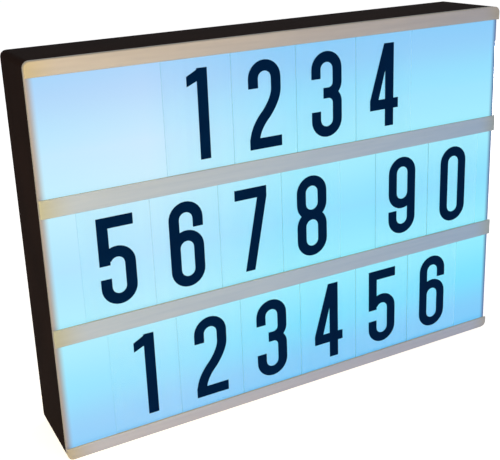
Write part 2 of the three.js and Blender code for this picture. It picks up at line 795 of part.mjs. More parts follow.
// Lamp bars: one behind each middle rail, so that no bright spot shows
function makeLampBars() {
  const places = [
    { name: "lamp_bar_lower", z: lowerMiddleRailZ + rail.middleHeight / 2 },
    { name: "lamp_bar_upper", z: upperMiddleRailZ + rail.middleHeight / 2 },
  ];
  const barBackY = reflectorFrontY - glueGap;
  const barFrontY = barBackY - lampBar.thickness;
  const lampPitch = lampBarLength / lampBar.lampCount;
  return places.map(({ name, z }) => {
    const strip = block(around(0, lampBarLength), [barFrontY, barBackY], around(z, lampBar.height));
    const lamps = Array.from({ length: lampBar.lampCount }, (_, i) =>
      block(
        around((i + 0.5) * lampPitch - lampBarLength / 2, lampBar.lampSize),
        [barFrontY - lampBar.lampHeight, barFrontY + glueGap],
        around(z, lampBar.lampSize),
      ),
    );
    const pad = block(
      [-lampBarLength / 2, lampBar.padWidth - lampBarLength / 2],
      [barFrontY - lampBar.padThickness, barFrontY + glueGap],
      around(z, lampBar.padHeight),
    );
    return meshOf(name, joined([strip, ...lamps, pad]), lampWhite);
  });
}

// Circuit board, screwed to two posts behind the controls' recess
function makeBoard() {
  const slab = block(
    around(recessX, board.width),
    [boardFrontY, boardBackY],
    around(recessZ, board.height),
  );
  const chip = block(
    around(recessX, board.chipLength),
    [boardFrontY - board.chipHeight, boardFrontY + glueGap],
    around(recessZ - board.height / 2 + board.chipWidth, board.chipWidth),
  );
  const holes = boardPostXs.map((x) =>
    rodAlongY(
      boardScrew.shankRadius + fitGap,
      x,
      recessZ,
      [boardFrontY - overrun, boardBackY + overrun],
      coarse,
    ),
  );
  return meshOf("control_board", without(joined([slab, chip]), holes), boardGreen);
}

function makeBoardScrews() {
  const seatY = boardFrontY;
  return boardPostXs.map((x, i) => {
    const headEnds = [seatY - boardScrew.headHeight, seatY];
    const head = rodAlongY(boardScrew.headRadius, x, recessZ, headEnds, coarse);
    const shank = rodAlongY(
      boardScrew.shankRadius,
      x,
      recessZ,
      [seatY - glueGap, seatY + boardScrew.length],
      coarse,
    );
    return meshOf(`board_screw_${i + 1}`, joined([head, shank]), steel);
  });
}

// Slide switch: a housing on the board, and the knob that slides in it
const switchTopY = boardBackY + glueGap + switchBody.depth;

function makeSwitch() {
  const housing = block(
    around(switchX, switchBody.length),
    [boardBackY + glueGap, switchTopY],
    around(recessZ, switchBody.height),
  );
  const room = block(
    around(switchX, knobSlotLength),
    [switchTopY - knob.foot - fitGap, switchTopY + overrun],
    around(recessZ, knob.height + 2 * fitGap),
  );
  return meshOf("switch_housing", housing.subtract(room), steel);
}

function makeKnob() {
  const topY = backY - knob.sink;
  const centreX = switchX + knob.travel / 2;
  const stem = block(
    around(centreX, knob.length),
    [switchTopY - knob.foot, topY],
    around(recessZ, knob.height),
  );
  const grooves = Array.from({ length: knob.ribCount }, (_, i) => {
    const x = centreX + (i - (knob.ribCount - 1) / 2) * knob.ribPitch;
    return block(
      around(x, knob.ribWidth),
      [topY - knob.ribDepth, topY + overrun],
      around(recessZ, knob.height + overrun),
    );
  });
  return meshOf("switch_knob", without(stem, grooves), caseBlack);
}

// Power socket: a barrel with a centre pin, on a base that stands on the board
function makeSocket() {
  const mouthY = recessFloorY;
  const baseY = [boardBackY + glueGap, boardBackY + glueGap + socket.baseDepth];
  const base = block(around(socketX, socket.baseWidth), baseY, around(recessZ, socket.baseHeight));
  const barrel = rodAlongY(socket.barrelRadius, socketX, recessZ, [baseY[1] - glueGap, mouthY]);
  const boreEnds = [mouthY - socket.boreDepth, mouthY + overrun];
  const bore = rodAlongY(socket.boreRadius, socketX, recessZ, boreEnds);
  const pinEnds = [boreEnds[0] - glueGap, mouthY - socket.pinSink];
  const pin = rodAlongY(socket.pinRadius, socketX, recessZ, pinEnds, coarse);
  return meshOf("power_socket", joined([joined([base, barrel]).subtract(bore), pin]), caseBlack);
}

// Wires, each along its own chosen route
function makeWire(name, route, material) {
  const curve = new THREE.CatmullRomCurve3(route.map(([x, y, z]) => new THREE.Vector3(x, y, z)));
  const steps = Math.ceil(curve.getLength() / wire.stepLength);
  return meshOf(name, wireAlong(curve, wire.radius, wire.sides, steps), material);
}

// From the positive contact to the board
const redRoute = [
  [-37.75, 15.45, 134.2],
  [-37.75, 15.45, 137],
  [-41, 15.2, 141.5],
  [-50, 14.6, 143],
  [-62, 13, 138],
  [-76, 10.5, 129],
  [-88, 8.4, 122],
  [-95, 8.6, 118.5],
  [-97, 9.8, 117.6],
  [-97, 11.1, 117.5],
];

// From the negative contact, over the top of the battery bay, to the board
const blackRoute = [
  [37.75, 15.45, 134.2],
  [37.75, 15.45, 137],
  [34.5, 15.2, 141.5],
  [26, 14.8, 144.5],
  [10, 14.4, 146],
  [-12, 14, 146.5],
  [-36, 13.6, 147],
  [-58, 12.8, 145.5],
  [-78, 11, 138],
  [-92, 8.8, 127],
  [-100.5, 8.4, 119.4],
  [-102.5, 9.8, 117.7],
  [-102.5, 11.1, 117.5],
];

// From the board, through the reflector, to the upper lamp bar
const upperLampRoute = [
  [-124, 11.1, 116],
  [-124.2, 9.8, 116],
  [-126.5, 8.3, 115],
  [-130, 7.7, 113.2],
  [-133.2, 6.8, 111.9],
  [-134.2, 5.3, 111.7],
  [-134.3, 3.6, 112.2],
  [-134, 2.9, 115],
  [-133.4, 3, 124],
  [-131.6, 3, 134],
  [-129.2, 2.6, 140.5],
  [-126.2, 1.3, 144.2],
  [-124.2, 1, 145.2],
  [-123.5, 1.6, 145.3],
  [-123.5, 2.8, 145.3],
];

// From the board, through the reflector, to the lower lamp bar
const lowerLampRoute = [
  [-124, 11.1, 104],
  [-124.2, 9.8, 104],
  [-126.5, 8.3, 105],
  [-130, 7.7, 106.8],
  [-133.2, 6.8, 108.1],
  [-134.2, 5.3, 108.3],
  [-134.3, 3.6, 107.8],
  [-134, 2.9, 105],
  [-133.4, 3, 96],
  [-131.6, 3, 86],
  [-129.2, 2.6, 79],
  [-126.2, 1.3, 74.9],
  [-124.2, 1, 73.8],
  [-123.5, 1.6, 73.7],
  [-123.5, 2.8, 73.7],
];

function makeWires() {
  return [
    makeWire("battery_wire_red", redRoute, wireRed),
    makeWire("battery_wire_black", blackRoute, wireBlack),
    makeWire("lamp_wire_upper", upperLampRoute, wireRed),
    makeWire("lamp_wire_lower", lowerLampRoute, wireRed),
  ];
}

const lightBox = new THREE.Group();
lightBox.add(
  makeCase(),
  makePanel(),
  ...makeRails(),
  ...makeTiles(),
  makeReflector(),
  ...makeLampBars(),
  ...makeCells(),
  ...makeContacts(),
  makeDoor(),
  makeBoard(),
  ...makeBoardScrews(),
  makeSwitch(),
  makeKnob(),
  makeSocket(),
  ...makeWires(),
  ...makeCaseScrews(),
);

export default lightBox;
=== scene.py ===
# A cinema light box: the finishes of its solids, the signs printed on its tiles, and its studio.
# All sizes are in metres. +X runs to the viewer's right, +Y to the back and +Z up.

import json
import math

import bmesh
import bpy
from mathutils import Matrix, Vector
from mathutils.geometry import delaunay_2d_cdt

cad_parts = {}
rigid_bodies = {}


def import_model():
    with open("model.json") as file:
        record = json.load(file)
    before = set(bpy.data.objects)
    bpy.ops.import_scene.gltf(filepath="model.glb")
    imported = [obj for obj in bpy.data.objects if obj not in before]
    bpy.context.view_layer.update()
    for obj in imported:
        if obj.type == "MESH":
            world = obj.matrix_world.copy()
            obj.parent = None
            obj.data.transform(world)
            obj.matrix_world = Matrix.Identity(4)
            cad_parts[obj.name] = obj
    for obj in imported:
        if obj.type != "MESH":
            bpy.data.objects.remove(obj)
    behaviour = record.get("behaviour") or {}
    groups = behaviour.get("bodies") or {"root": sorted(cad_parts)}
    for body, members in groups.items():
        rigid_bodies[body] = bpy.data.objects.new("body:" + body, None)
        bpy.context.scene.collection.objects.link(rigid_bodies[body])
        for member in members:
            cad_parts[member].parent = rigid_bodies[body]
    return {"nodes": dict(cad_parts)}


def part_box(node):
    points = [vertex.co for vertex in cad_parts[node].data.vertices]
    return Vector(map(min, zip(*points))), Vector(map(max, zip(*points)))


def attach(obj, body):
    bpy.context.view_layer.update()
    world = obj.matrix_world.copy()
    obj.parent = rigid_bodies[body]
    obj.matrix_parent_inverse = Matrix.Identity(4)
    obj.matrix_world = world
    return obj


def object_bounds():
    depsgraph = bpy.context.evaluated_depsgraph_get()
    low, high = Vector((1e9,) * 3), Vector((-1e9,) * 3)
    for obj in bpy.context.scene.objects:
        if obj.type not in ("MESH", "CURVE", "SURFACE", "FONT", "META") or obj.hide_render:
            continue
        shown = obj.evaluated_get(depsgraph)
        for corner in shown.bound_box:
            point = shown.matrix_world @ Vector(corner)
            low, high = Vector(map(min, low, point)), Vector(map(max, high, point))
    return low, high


bl_info = {
    "name": "Cinema light box",
    "version": (1, 0, 0),
    "blender": (4, 5, 0),
    "location": "3D View > Sidebar > Light box",
    "description": "Finishes a cinema light box, prints its signs and sets up its studio",
    "category": "Object",
}

for leftover in list(bpy.data.objects):
    bpy.data.objects.remove(leftover)
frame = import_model()
cad_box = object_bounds()
nodes = frame["nodes"]

MM = 0.001
ROWS = ("upper", "middle", "lower")
SIGNS = {"upper": "1234", "middle": "567890", "lower": "123456"}
CELL_COUNT = 6
# Each lamp's place, width and colour
LAMPS = {
    "key": ((-0.341, -0.347, 0.262), 0.15, "#ffda89"),
    "fill": ((0.3, -0.8, 0.6), 0.6, "#dfe9ff"),
    "back": ((1.15, 0.8, 0.1), 0.16, "#ffffff"),
}
# The camera, placed by the edges of the light box that the photo shows
CAMERA_PLACE = (-0.24587, -0.42924, 0.28419)
CAMERA_YAW, CAMERA_PITCH, CAMERA_ROLL = (math.radians(turn) for turn in (26.669, 16.867, -2.63))
SENSOR_WIDTH = 36
FOCAL_LENGTH = 61.772
SHIFT_X = 0.0386
SHIFT_Y = -0.1176
NEAREST_SEEN = 10 * MM


def linear(hex_colour):
    """A colour written as sRGB hex, turned to the linear values that sockets and lamps take."""
    parts = [int(hex_colour[i:i + 2], 16) / 255 for i in (1, 3, 5)]
    return [p / 12.92 if p <= 0.04045 else ((p + 0.055) / 1.055) ** 2.4 for p in parts]


def opaque(colour):
    return (*colour, 1)


def number_property(name, description, value, **options):
    return bpy.props.FloatProperty(name=name, description=description, default=value, **options)


def length_property(name, description, size_in_mm):
    return number_property(name, description, size_in_mm * MM, min=0, precision=5, unit="LENGTH")


def colour_property(name, description, hex_colour):
    return bpy.props.FloatVectorProperty(
        name=name, description=description, default=linear(hex_colour), min=0, max=1, subtype="COLOR"
    )


class SignSettings(bpy.types.PropertyGroup):
    """Sizes of the printed signs"""

    height: length_property("Height", "Height of a sign", 50)
    width: length_property("Width", "Width of a sign", 20.5)
    stroke: length_property("Stroke", "Width of a sign's strokes", 6.2)
    ink_depth: length_property("Ink depth", "Thickness of the printed ink", 0.06)
    ink_gap: length_property("Ink gap", "Space between the ink and the film", 0.02)


class MarkSettings(bpy.types.PropertyGroup):
    """Sizes of the small moulded and printed marks"""

    line: length_property("Line", "Width of a mark's lines", 0.45)
    rise: length_property("Rise", "How far a moulded mark stands out of the recess", 0.25)
    switch_height: length_property("Switch marks", "Height of the on and off marks", 3.2)
    switch_gap: length_property("Switch gap", "Space between the knob and its marks", 2.6)
    switch_travel: length_property("Switch travel", "How far the knob slides from on to off", 4)
    socket_gap: length_property("Socket gap", "Space between the socket and the mark above it", 2.1)
    cell_size: length_property("Cell marks", "Size of a plus or minus on a cell", 5)
    cell_line: length_property("Cell line", "Line width of a plus or minus on a cell", 1.1)
    cell_inset: length_property("Cell inset", "Distance of a mark from the end of its cell", 8)


class FinishSettings(bpy.types.PropertyGroup):
    """Colours of the finishes"""

    case: colour_property("Case", "Black moulded ABS of the case, door and knob", "#170e0c")
    rails: colour_property("Rails", "Ivory plastic of the rails", "#aaa697")
    # The middle rails are drawn in a cooler colour than the others: a painted tint of the lamps' light
    # behind them.
    middle_rails_lamp_tint: colour_property("Middle rails", "Plastic of the rails before the lamps", "#a0a698")
    film: colour_property("Film", "Clear film of the tiles", "#f7feff")
    ink: colour_property("Ink", "Ink of the signs", "#00112c")
    opal: colour_property("Opal", "Opal acrylic where the lamps shine through it", "#343b40")
    rim: colour_property("Rim", "Opal acrylic along its rim", "#807e7a")
    reflector: colour_property("Reflector", "White sheet behind the lamps", "#eeeeea")
    lamp_strip: colour_property("Lamp bars", "White lacquer of the lamp bars", "#e6e8e4")
    phosphor: colour_property("Phosphor", "Yellow face of an unlit lamp", "#e2c65a")
    board: colour_property("Board", "Green lacquer of the circuit board", "#1c5a3c")
    chip: colour_property("Chip", "Black resin of the chip on the board", "#1a1a1b")
    nylon: colour_property("Nylon", "Black nylon of the power socket", "#17181b")
    contacts: colour_property("Contacts", "Nickel-plated spring steel", "#c9c3b6")
    screws: colour_property("Screws", "Black oxide steel of the case screws", "#4a4c50")
    sleeve: colour_property("Sleeve", "Dark sleeve of a cell", "#3b4650")
    band: colour_property("Band", "Pale band at a cell's positive end", "#b9c1c6")
    cell_print: colour_property("Cell print", "Ink of the marks on a cell", "#e8ecee")
    red_wire: colour_property("Red wire", "PVC of the positive wires", "#a31d1d")
    black_wire: colour_property("Black wire", "PVC of the negative wire", "#151515")
    edge_soft: length_property("Edge", "Rounding of the case's edges", 0.25)
    fine_edge: length_property("Fine edge", "Rounding of the edges of smaller pieces", 0.125)


class GlowSettings(bpy.types.PropertyGroup):
    """Colours of the light that comes through the front and its rails"""

    near: colour_property("Near", "Front at the height of a lamp bar", "#55e4f7")
    far: colour_property("Far", "Front away from the lamp bars", "#11d5f8")
    edge: colour_property("Edge", "Front along its top and bottom edges", "#3fbbf2")
    haze: colour_property("Haze", "Pale haze that lies over the front", "#f3e6f7")
    haze_amount: number_property("Haze amount", "Strength of the haze", 0.58, min=0)
    left_rim: colour_property("Left rim", "Faint light along the rim at the left", "#55586f")
    right_rim: colour_property("Right rim", "Faint light along the rim at the right", "#2c4c86")
    film_edge: colour_property("Film edge", "Light that a tile's cut edge gives off", "#66a4ba")
    bottom_rail: colour_property("Bottom rail", "Light through the bottom rail", "#36578a")
    middle_rail: colour_property("Middle rails", "Light through the two middle rails", "#005998")
    top_rail: colour_property("Top rail", "Light through the top rail", "#003469")
    strength: number_property("Strength", "Level of the lit front", 1, min=0)


class StageSettings(bpy.types.PropertyGroup):
    """Studio around the light box"""

    floor: colour_property("Floor", "Pale floor", "#e9e9e9")
    floor_lift: number_property("Floor lift", "White seen on the floor beside its light", 0.69, min=0)
    sky: number_property("Sky", "Light from all round", 0.4, min=0)
    key: number_property("Key lamp", "Warm soft lamp near the left end", 2, min=0, unit="POWER")
    fill: number_property("Fill lamp", "Cool soft lamp before the right end", 0.4, min=0, unit="POWER")
    back: number_property("Back lamp", "Plain lamp behind, at the right", 30, min=0, unit="POWER")


def add_node(tree, kind, inputs=None, stops=(), **settings):
    """Adds a node, sets its options and its ramp's stops, and fills its sockets with values or with
    other nodes' sockets."""
    node = tree.nodes.new(kind)
    for name, value in settings.items():
        setattr(node, name, value)
    for i, (place, colour) in enumerate(stops):
        while len(node.color_ramp.elements) <= i:
            node.color_ramp.elements.new(1)
        node.color_ramp.elements[i].position = place
        node.color_ramp.elements[i].color = opaque(colour)
    for name, value in (inputs or {}).items():
        if isinstance(value, bpy.types.NodeSocket):
            tree.links.new(value, node.inputs[name])
        else:
            node.inputs[name].default_value = value
    return node


def blank_material(name):
    material = bpy.data.materials.new(name)
    material.use_nodes = True
    material.node_tree.nodes.clear()
    return material, material.node_tree


def shade(material, roughness, grain_size, grain_depth, inputs, detail=3):
    """Ends a material with one Principled shader. Its surface has a fine grain of a real size, drawn
    as a bump, and its roughness follows that grain between two values."""
    tree = material.node_tree
    place = add_node(tree, "ShaderNodeTexCoord").outputs["Object"]
    scale = 1 / grain_size
    noise = add_node(
        tree, "ShaderNodeTexNoise", {"Vector": place, "Scale": scale, "Detail": detail, "Roughness": 0.6}
    )
    height = noise.outputs["Fac"]
    bump = add_node(tree, "ShaderNodeBump", {"Height": height, "Distance": grain_depth, "Strength": 1})
    low, high = roughness
    span = add_node(tree, "ShaderNodeMapRange", {"Value": height, "To Min": low, "To Max": high})
    shader = add_node(tree, "ShaderNodeBsdfPrincipled", {
        **inputs, "Roughness": span.outputs["Result"], "Normal": bump.outputs["Normal"],
    })
    add_node(tree, "ShaderNodeOutputMaterial", {"Surface": shader.outputs["BSDF"]})
    return material


def draw_lines(tree, lengths, detail):
    """Lines that a strip or film keeps from its making, from their real lengths along each axis."""
    place = add_node(tree, "ShaderNodeTexCoord").outputs["Object"]
    scale = [1 / length for length in lengths]
    stretched = add_node(tree, "ShaderNodeMapping", {"Vector": place, "Scale": scale})
    noise = add_node(
        tree, "ShaderNodeTexNoise", {"Vector": stretched.outputs["Vector"], "Scale": 1, "Detail": detail}
    )
    return noise.outputs["Fac"]


def cloudy(tree, colour, size, dark, pale):
    """A colour that drifts between two of its tones over patches of a real size."""
    place = add_node(tree, "ShaderNodeTexCoord").outputs["Object"]
    noise = add_node(tree, "ShaderNodeTexNoise", {"Vector": place, "Scale": 1 / size, "Detail": 4})
    ramp = add_node(
        tree, "ShaderNodeValToRGB", {"Fac": noise.outputs["Fac"]},
        stops=[(0.3, tone(colour, dark)), (0.7, tone(colour, pale))],
    )
    return ramp.outputs["Color"]


def place_on(tree, axis):
    """Where a point of the object stands on an axis."""
    place = add_node(tree, "ShaderNodeTexCoord").outputs["Object"]
    return add_node(tree, "ShaderNodeSeparateXYZ", {"Vector": place}).outputs[axis]


def along(tree, value, low, high, stops, interpolation="LINEAR"):
    """A row of colours laid out between two values."""
    share = add_node(tree, "ShaderNodeMapRange", {"Value": value, "From Min": low, "From Max": high})
    ramp = add_node(tree, "ShaderNodeValToRGB", {"Fac": share.outputs["Result"]}, stops=stops)
    ramp.color_ramp.interpolation = interpolation
    return ramp.outputs["Color"]


def rising(tree, value, start, stop):
    """Nought below one value, one above another, and a smooth change between them."""
    span = add_node(
        tree, "ShaderNodeMapRange", {"Value": value, "From Min": start, "From Max": stop},
        interpolation_type="SMOOTHSTEP",
    )
    return span.outputs["Result"]


def mixed(tree, factor, first, second):
    """One colour where the factor is nought, and another where it is one."""
    blend = add_node(tree, "ShaderNodeMix", {"Factor": factor, "A": first, "B": second}, data_type="RGBA")
    return blend.outputs["Result"]


def folded(tree, operation, values):
    """Values brought together two by two, such as to their least one or their product."""
    total = values[0]
    for value in values[1:]:
        total = add_node(tree, "ShaderNodeMath", {0: total, 1: value}, operation=operation).outputs[0]
    return total


def facing(tree, axis):
    """How far a face is turned along an axis, from -1 to 1."""
    normal = add_node(tree, "ShaderNodeTexCoord").outputs["Normal"]
    return add_node(tree, "ShaderNodeSeparateXYZ", {"Vector": normal}).outputs[axis]


def front_share(tree):
    """One on faces that look to the front, and nought on the others."""
    return rising(tree, facing(tree, "Y"), -0.3, -0.9)


def lamp_distance(tree):
    """How far a point's height is from the middle of the nearest lamp bar."""
    height = place_on(tree, "Z")
    distances = []
    for strip in ("lamp_bar_lower", "lamp_bar_upper"):
        _, _, middle = extent(strip)
        offset = folded(tree, "SUBTRACT", [height, middle.z])
        distances.append(add_node(tree, "ShaderNodeMath", {0: offset}, operation="ABSOLUTE").outputs[0])
    return folded(tree, "MINIMUM", distances)


def tone(colour, gain):
    return [min(part * gain, 1) for part in colour]


# Finishes of the outside


def moulded_abs(name, colour, gloss):
    """Black ABS from a spark-eroded mould: a dull sheen broken up by a fine grain, and a black that
    drifts a little from patch to patch. The real grain is about 0.2 mm, and it is drawn at 0.7 mm so
    that it shows. The case is duller than the small mouldings on its back."""
    material, tree = blank_material(name)
    return shade(material, roughness=(0.5, 0.68), grain_size=0.7 * MM, grain_depth=0.03 * MM, inputs={
        "Base Color": cloudy(tree, colour, 35 * MM, dark=0.8, pale=1.25),
        "Specular IOR Level": gloss,
        "IOR": 1.53,
    })


def ivory_styrene(colour, lamp_tinted_colour, glow):
    """Ivory polystyrene strip, extruded: satin, with faint draw lines along its length. It is thin
    enough for some of the blue light behind it to come through, less in the top rail and least at
    the ends of each."""
    left_fade = (-8 * MM, 20 * MM)
    right_fade = (12 * MM, -15 * MM)
    material, tree = blank_material("ivory_polystyrene")
    lines = draw_lines(tree, (40 * MM, 2.5 * MM, 2.5 * MM), detail=5)
    heights = (0, 0.33, 0.66, 1)
    # The two middle rails take a cooler colour: a painted tint of the lamps' light behind them.
    colours = (colour, lamp_tinted_colour, lamp_tinted_colour, colour)
    glows = (glow.bottom_rail, glow.middle_rail, glow.middle_rail, glow.top_rail)
    up = (place_on(tree, "Z"), cad_box[0].z, cad_box[1].z)
    dark, pale = (
        along(tree, *up, [(place, tone(part, gain)) for place, part in zip(heights, colours)])
        for gain in (0.96, 1.04)
    )
    through = along(tree, *up, list(zip(heights, glows)))
    across = place_on(tree, "X")
    inside = folded(tree, "MINIMUM", [
        rising(tree, across, *(cad_box[0].x + step for step in left_fade)),
        rising(tree, across, *(cad_box[1].x + step for step in right_fade)),
        front_share(tree),
    ])
    return shade(material, roughness=(0.45, 0.6), grain_size=0.6 * MM, grain_depth=0.02 * MM, inputs={
        "Base Color": mixed(tree, rising(tree, lines, 0.3, 0.7), dark, pale),
        "IOR": 1.59,
        "Specular IOR Level": 0.12,
        "Emission Color": mixed(tree, inside, opaque((0, 0, 0)), through),
        "Emission Strength": 1,
    })


def lit_share(tree):
    """One where the lamps shine through the front, and nought on its rim, where the case hides
    them. The light fades softly between the two."""
    left_fade = (0.2 * MM, 4.8 * MM)
    right_fade = (0, 4 * MM)
    level_fade = (1.5 * MM, 3 * MM)
    low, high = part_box("diffuser_panel")
    across, height = place_on(tree, "X"), place_on(tree, "Z")
    return folded(tree, "MINIMUM", [
        rising(tree, across, *(low.x + step for step in left_fade)),
        rising(tree, across, *(high.x - step for step in right_fade)),
        rising(tree, height, *(low.z + step for step in level_fade)),
        rising(tree, height, *(high.z - step for step in level_fade)),
    ])


def haze_share(tree, amount):
    """How much haze lies over the light: most near the left end and above the upper lamp bar."""
    low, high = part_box("diffuser_panel")
    across = [(0, 0.86), (0.2, 1), (0.5, 0.54), (1, 0.5)]
    upward = [(0, 0.35), (0.78, 1), (1, 0.53)]
    shares = [
        along(tree, place_on(tree, axis), start, stop, [(place, [level] * 3) for place, level in stops])
        for axis, start, stop, stops in (("X", low.x, high.x, across), ("Z", low.z, high.z, upward))
    ]
    return folded(tree, "MULTIPLY", [*shares, amount])


def opal_acrylic(glow, colour, rim):
    """Opal acrylic lit from behind by two bars of lamps: palest beside the bars, bluer and dimmer
    towards the top and bottom edges, and grey along its rim. Painted shade darkens the front of the rim
    towards the right end, while the rim's right side face keeps the plain grey. Light that comes through
    hides the light that falls on it, so the plate is drawn dark where it is lit."""
    far_from_bar = (0, 35 * MM)
    near_plate_edge = (29 * MM, 60 * MM)
    # Painted shade: the front of the rim is drawn darker towards the right end, down to a quarter of its
    # grey.
    rim_in_painted_shade = tone(rim, 0.25)
    material, tree = blank_material("lit_opal_acrylic")
    distance = lamp_distance(tree)
    light = mixed(tree, rising(tree, distance, *far_from_bar), opaque(glow.near), opaque(glow.far))
    light = mixed(tree, rising(tree, distance, *near_plate_edge), light, opaque(glow.edge))
    light = mixed(tree, haze_share(tree, glow.haze_amount), light, opaque(glow.haze))
    faint, rim_tone_with_shade = (
        along(tree, place_on(tree, "X"), cad_box[0].x, cad_box[1].x, [(0, left), (1, right)])
        for left, right in ((glow.left_rim, glow.right_rim), (rim, rim_in_painted_shade))
    )
    # The rim's right side face keeps the plain grey, so the painted shade stays on the front.
    right_side = rising(tree, facing(tree, "X"), 0.3, 0.9)
    rim_tone_with_shade = mixed(tree, right_side, rim_tone_with_shade, opaque(rim))
    lit = lit_share(tree)
    seen = mixed(tree, lit, faint, light)
    return shade(material, roughness=(0.38, 0.48), grain_size=1.5 * MM, grain_depth=0.01 * MM, inputs={
        "Base Color": mixed(tree, lit, rim_tone_with_shade, opaque(colour)),
        "IOR": 1.49,
        "Specular IOR Level": 0.4,
        "Emission Color": mixed(tree, front_share(tree), opaque((0, 0, 0)), seen),
        "Emission Strength": glow.strength,
    })


def clear_film(colour, edge):
    """Clear PET film: smooth and glossy, with the faintest ripple and faint draw lines from top to
    bottom. Its cut edges give off some of the light that the film takes in from the lit front. The
    lit front outshines its gloss, so the tint takes off most of what it reflects."""
    material, tree = blank_material("clear_pet_film")
    lines = draw_lines(tree, (3.125 * MM, 3.125 * MM, 250 * MM), detail=3)
    body = add_node(
        tree, "ShaderNodeValToRGB", {"Fac": lines}, stops=[(0.35, tone(colour, 0.985)), (0.65, colour)]
    )
    # Light leaves the outer side of a cut edge, and not the inner side that is seen through the film
    turned = add_node(tree, "ShaderNodeMath", {0: facing(tree, "X")}, operation="ABSOLUTE").outputs[0]
    inner = add_node(tree, "ShaderNodeNewGeometry").outputs["Backfacing"]
    cut = rising(tree, folded(tree, "SUBTRACT", [turned, inner]), 0.5, 0.9)
    return shade(material, roughness=(0.02, 0.06), grain_size=14 * MM, grain_depth=0.02 * MM, inputs={
        "Base Color": body.outputs["Color"],
        "Transmission Weight": 1,
        "IOR": 1.57,
        "Specular Tint": (0.4, 0.4, 0.4, 1),
        "Emission Color": mixed(tree, cut, opaque((0, 0, 0)), opaque(edge)),
        "Emission Strength": 1,
    }, detail=1)


def screen_ink(colour):
    """Screen-printed ink, near black, with the blue of the lit front coming through it a little."""
    material, tree = blank_material("screen_ink")
    return shade(material, roughness=(0.4, 0.55), grain_size=0.8 * MM, grain_depth=0.004 * MM, inputs={
        "Base Color": cloudy(tree, colour, 12 * MM, dark=0.8, pale=1.3),
        "Specular IOR Level": 0.01,
        "IOR": 1.5,
        "Emission Color": opaque(colour),
        "Emission Strength": 1,
    })


# Finishes of the inside


def reflector_sheet(colour):
    """White polyester sheet: matt, with a faint fibre in it."""
    material, tree = blank_material("white_polyester_sheet")
    return shade(material, roughness=(0.55, 0.75), grain_size=1.2 * MM, grain_depth=0.02 * MM, inputs={
        "Base Color": cloudy(tree, colour, 20 * MM, dark=0.94, pale=1),
        "IOR": 1.57,
    }, detail=5)


def lamp_strip(colour, phosphor):
    """White lacquered strip, with the yellow phosphor faces of the lamps that stand out of it."""
    material, tree = blank_material("lacquered_lamp_strip")
    low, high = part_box("lamp_bar_lower")
    faces = [(0, phosphor), (0.5, colour)]
    return shade(material, roughness=(0.3, 0.45), grain_size=0.8 * MM, grain_depth=0.01 * MM, inputs={
        "Base Color": along(tree, place_on(tree, "Y"), low.y, high.y, faces, "CONSTANT"),
        "IOR": 1.5,
    })


def circuit_board(colour, chip):
    """Green lacquered fibreglass: copper tracks show paler through the lacquer, and the chip that
    stands out of it is black."""
    track_spacing = 5 * MM
    chip_rise = 1.4 * MM
    blend = 0.1 * MM
    material, tree = blank_material("lacquered_circuit_board")
    low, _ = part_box("control_board")
    place = add_node(tree, "ShaderNodeTexCoord").outputs["Object"]
    cells = add_node(
        tree, "ShaderNodeTexVoronoi", {"Vector": place, "Scale": 1 / track_spacing},
        feature="DISTANCE_TO_EDGE", distance="CHEBYCHEV",
    )
    tracks = add_node(
        tree, "ShaderNodeValToRGB", {"Fac": cells.outputs["Distance"]},
        stops=[(0.05, tone(colour, 1.6)), (0.09, colour)],
    )
    slab = rising(tree, place_on(tree, "Y"), low.y + chip_rise, low.y + chip_rise + blend)
    return shade(material, roughness=(0.3, 0.45), grain_size=0.5 * MM, grain_depth=0.01 * MM, inputs={
        "Base Color": mixed(tree, slab, opaque(chip), tracks.outputs["Color"]),
        "IOR": 1.5,
    })


def socket_nylon(colour, metal):
    """Black nylon with a satin grain, round a bare metal pin."""
    pin_edge = (1.4 * MM, 1.3 * MM)
    material, tree = blank_material("black_nylon_socket")
    _, _, middle = extent("power_socket")
    flat = add_node(tree, "ShaderNodeCombineXYZ", {"X": place_on(tree, "X"), "Z": place_on(tree, "Z")})
    ends = {0: flat.outputs["Vector"], 1: (middle.x, 0, middle.z)}
    reach = add_node(tree, "ShaderNodeVectorMath", ends, operation="DISTANCE").outputs["Value"]
    pin = rising(tree, reach, *pin_edge)
    return shade(material, roughness=(0.35, 0.5), grain_size=0.5 * MM, grain_depth=0.015 * MM, inputs={
        "Base Color": mixed(tree, pin, opaque(colour), opaque(metal)),
        "Metallic": pin,
        "IOR": 1.53,
        "Specular IOR Level": 0.3,
    })


def plated_steel(name, colour, roughness):
    """Plated or blackened steel: fine scratches and finger marks change its gloss from spot to spot."""
    material, tree = blank_material(name)
    return shade(material, roughness=roughness, grain_size=1.6 * MM, grain_depth=0.006 * MM, inputs={
        "Base Color": cloudy(tree, colour, 6 * MM, dark=0.88, pale=1.06),
        "Metallic": 1,
    }, detail=6)


def cell_sleeve(name, colour, band, metal, foot_z, nub_z):
    """Shrunk plastic sleeve on a cell: dark, with a pale band near the positive end, and bare
    nickel-plated steel at both ends. The stops are shares of the cell's height."""
    bare_foot = 0.8 * MM
    bare_nub = 2 * MM
    material, tree = blank_material(name)
    span = abs(nub_z - foot_z)
    sleeve_start, sleeve_end = bare_foot / span, (span - bare_nub) / span
    pinstripe = tone(colour, 1.9)
    stops = [
        (0, metal), (sleeve_start, colour), (0.70, pinstripe), (0.712, colour), (0.74, band),
        (0.9, pinstripe), (0.912, colour), (sleeve_end, metal),
    ]
    ends = [(0, (1, 1, 1)), (sleeve_start, (0, 0, 0)), (sleeve_end, (1, 1, 1))]
    height = (place_on(tree, "Z"), foot_z, nub_z)
    bare = along(tree, *height, ends, "CONSTANT")
    return shade(material, roughness=(0.22, 0.34), grain_size=2 * MM, grain_depth=0.01 * MM, inputs={
        "Base Color": along(tree, *height, stops, "CONSTANT"),
        "Metallic": bare,
        "IOR": 1.53,
    })


